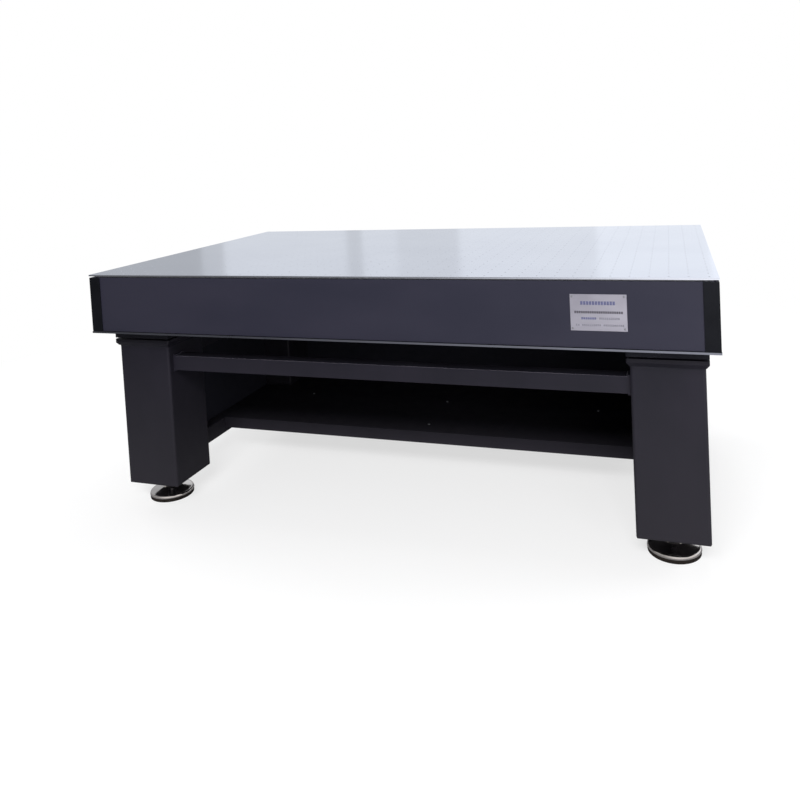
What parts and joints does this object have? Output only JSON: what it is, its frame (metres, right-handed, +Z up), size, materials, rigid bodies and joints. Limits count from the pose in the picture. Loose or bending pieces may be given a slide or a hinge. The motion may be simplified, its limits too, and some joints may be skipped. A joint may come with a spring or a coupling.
{
  "type": "vibration isolation table",
  "caption": "Vibration isolation table: a perforated honeycomb top floats on leg isolators over a closed-back steel frame with a shelf and levelling feet.",
  "frame": {"origin": "on the floor, under the middle of the table", "axes": "+X along the length of the table to the right, +Y to the back, +Z up; the front is -Y"},
  "size_m": [2, 1.2, 0.83],
  "materials": {
    "skin_steel": "satin",
    "dull_steel": "satin",
    "panel_paint": "satin",
    "guard_plastic": "gloss",
    "nameplate_metal": "satin",
    "core_foil": "satin",
    "zinc_steel": "satin",
    "dark_paint": "matte",
    "leg_paint": "satin",
    "foot_chrome": "polished",
    "black_steel": "satin",
    "rubber": "matte"
  },
  "bodies": {
    "frame": {"cap_screws": "zinc_steel", "rail_bolts": "zinc_steel", "shelf_screws": "zinc_steel", "lock_nuts": "zinc_steel", "isolator_cans": "dark_paint", "back_panel": "dark_paint", "side_cover_left": "dark_paint", "side_cover_right": "dark_paint", "rubber_springs": "rubber", "dust_seals": "rubber", "leg_cap_front_left": "leg_paint", "leg_cap_front_right": "leg_paint", "leg_cap_rear_left": "leg_paint", "leg_cap_rear_right": "leg_paint", "column_front_left": "leg_paint", "column_front_right": "leg_paint", "column_rear_left": "leg_paint", "column_rear_right": "leg_paint", "base_plates": "leg_paint", "upper_rail_front": "leg_paint", "upper_rail_rear": "leg_paint", "upper_rail_left": "leg_paint", "upper_rail_right": "leg_paint", "lower_rail_rear": "leg_paint", "lower_rail_left": "leg_paint", "lower_rail_right": "leg_paint", "shelf_support_front": "leg_paint", "shelf_support_rear": "leg_paint", "shelf_pan": "leg_paint", "cover_screws": "black_steel"},
    "tabletop": {"top_skin": "skin_steel", "bottom_skin": "dull_steel", "edge_frame": "zinc_steel", "honeycomb_core": "core_foil", "side_panel_front": "panel_paint", "side_panel_rear": "panel_paint", "side_panel_left": "panel_paint", "side_panel_right": "panel_paint", "corner_guards": "guard_plastic", "nameplate": "nameplate_metal", "nameplate_rivets": "zinc_steel", "adapter_plates": "dark_paint", "adapter_bolts": "zinc_steel", "piston_front_left": "dark_paint", "piston_front_right": "dark_paint", "piston_rear_left": "dark_paint", "piston_rear_right": "dark_paint"},
    "foot_front_left": {"foot_pad_front_left": "rubber", "foot_dish_front_left": "foot_chrome"},
    "stem_front_left": {"foot_stem_front_left": "black_steel"},
    "foot_front_right": {"foot_pad_front_right": "rubber", "foot_dish_front_right": "foot_chrome"},
    "stem_front_right": {"foot_stem_front_right": "black_steel"},
    "foot_rear_left": {"foot_pad_rear_left": "rubber", "foot_dish_rear_left": "foot_chrome"},
    "stem_rear_left": {"foot_stem_rear_left": "black_steel"},
    "foot_rear_right": {"foot_pad_rear_right": "rubber", "foot_dish_rear_right": "foot_chrome"},
    "stem_rear_right": {"foot_stem_rear_right": "black_steel"}
  },
  "joints": [
    {"name": "top_heave", "type": "slide", "parent": "frame", "child": "tabletop", "axis": [0, 0, 1], "range_m": [-0.004, 0.004], "stiffness_N_per_m": 166500, "springref_m": 0.02718, "deforming": ["rubber_springs"]},
    {"name": "level_front_left", "type": "slide", "parent": "frame", "child": "foot_front_left", "axis": [0, 0, 1], "range_m": [-0.009, 0.009]},
    {"name": "turn_front_left", "type": "hinge", "parent": "foot_front_left", "child": "stem_front_left", "pos_m": [-0.863, -0.417, 0.05], "axis": [0, 0, 1], "range_deg": [-1081, 1081]},
    {"name": "level_front_right", "type": "slide", "parent": "frame", "child": "foot_front_right", "axis": [0, 0, 1], "range_m": [-0.009, 0.009]},
    {"name": "turn_front_right", "type": "hinge", "parent": "foot_front_right", "child": "stem_front_right", "pos_m": [0.863, -0.417, 0.05], "axis": [0, 0, 1], "range_deg": [-1081, 1081]},
    {"name": "level_rear_left", "type": "slide", "parent": "frame", "child": "foot_rear_left", "axis": [0, 0, 1], "range_m": [-0.009, 0.009]},
    {"name": "turn_rear_left", "type": "hinge", "parent": "foot_rear_left", "child": "stem_rear_left", "pos_m": [-0.863, 0.417, 0.05], "axis": [0, 0, 1], "range_deg": [-1081, 1081]},
    {"name": "level_rear_right", "type": "slide", "parent": "frame", "child": "foot_rear_right", "axis": [0, 0, 1], "range_m": [-0.009, 0.009]},
    {"name": "turn_rear_right", "type": "hinge", "parent": "foot_rear_right", "child": "stem_rear_right", "pos_m": [0.863, 0.417, 0.05], "axis": [0, 0, 1], "range_deg": [-1081, 1081]}
  ],
  "couplings": [
    {"joint": "turn_front_left", "follows": "level_front_left", "rad_per_m": 2094.4},
    {"joint": "turn_front_right", "follows": "level_front_right", "rad_per_m": 2094.4},
    {"joint": "turn_rear_left", "follows": "level_rear_left", "rad_per_m": 2094.4},
    {"joint": "turn_rear_right", "follows": "level_rear_right", "rad_per_m": 2094.4}
  ]
}
